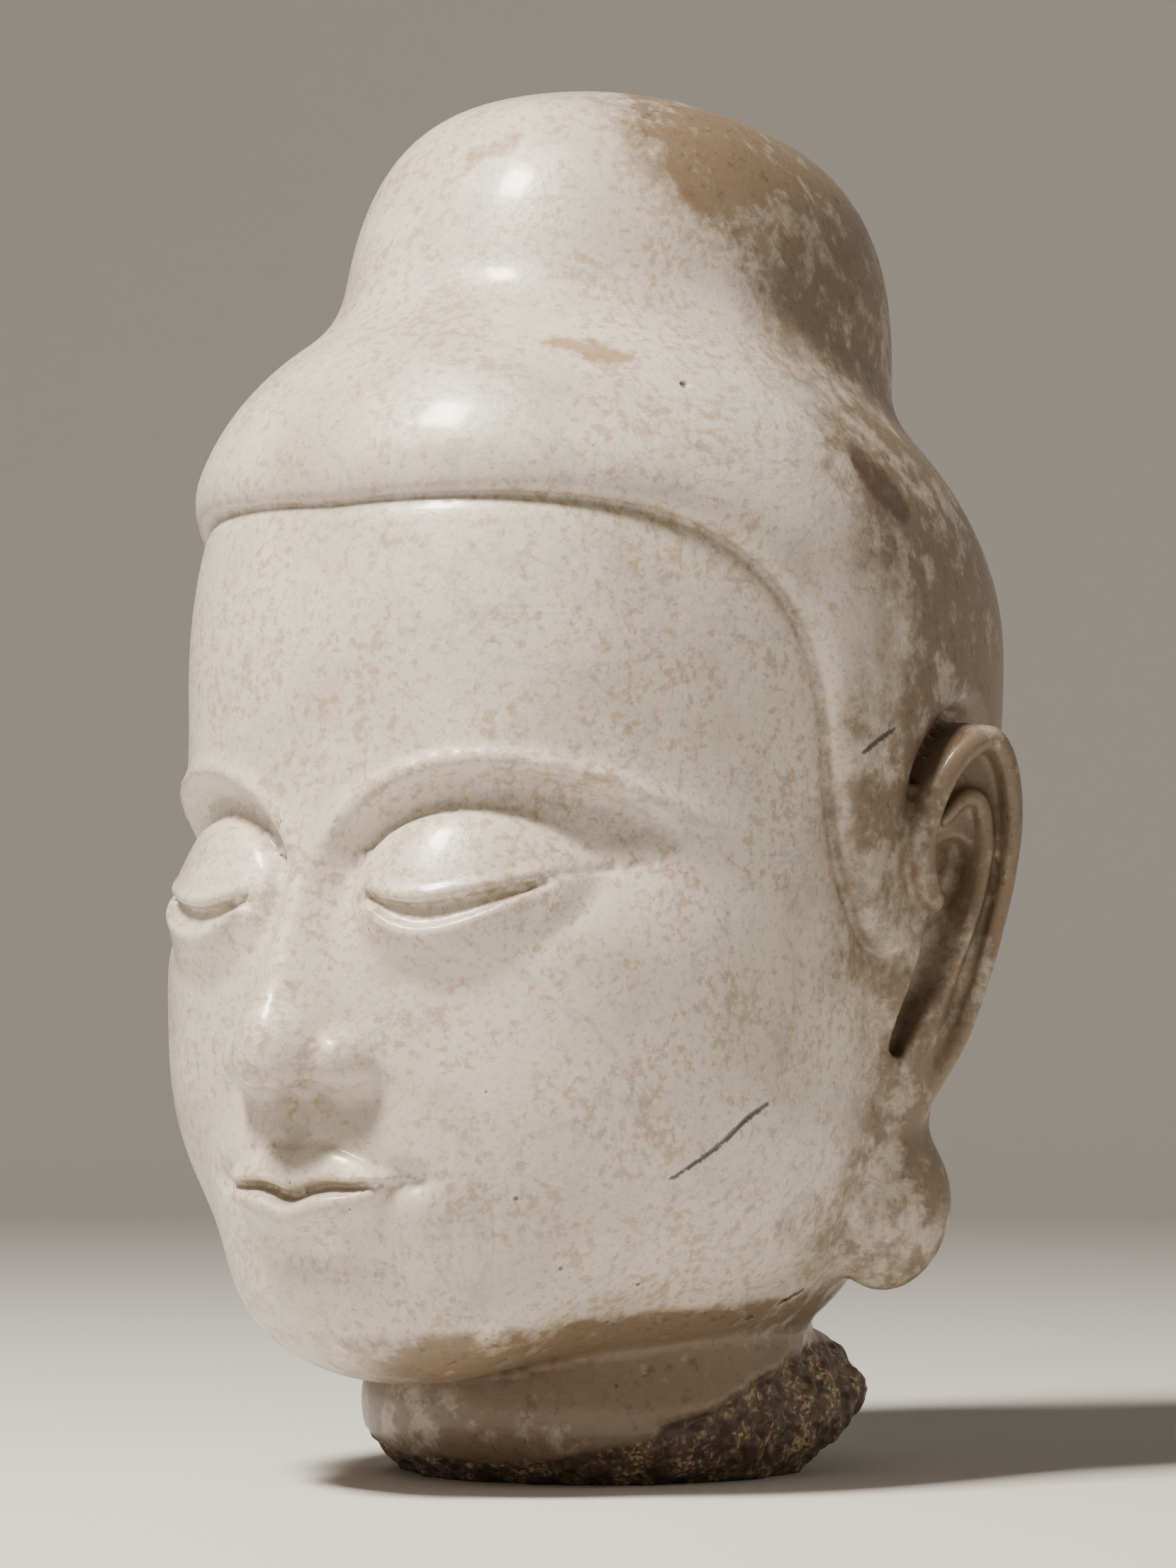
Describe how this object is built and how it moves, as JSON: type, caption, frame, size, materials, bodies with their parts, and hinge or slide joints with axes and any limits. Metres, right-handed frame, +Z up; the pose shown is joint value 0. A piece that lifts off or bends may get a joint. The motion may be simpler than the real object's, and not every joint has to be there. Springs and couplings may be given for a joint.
{
  "type": "stone buddha head",
  "caption": "Carved white marble head of a buddha, face calm with lowered lids, smooth hair and rounded cranial bump, long ears, broken off at the neck",
  "frame": {"origin": "middle of the flat underside of the broken neck", "axes": "+Z up from the underside to the crown, the face looks to -Y, +X is the figure's left side"},
  "size_m": [0.2098, 0.2485, 0.3399],
  "materials": {
    "marble": "polished by handling, brown patina in the hollows, rough crystalline break at the neck"
  },
  "bodies": {
    "root": {"buddha_head": "marble"}
  },
  "joints": []
}
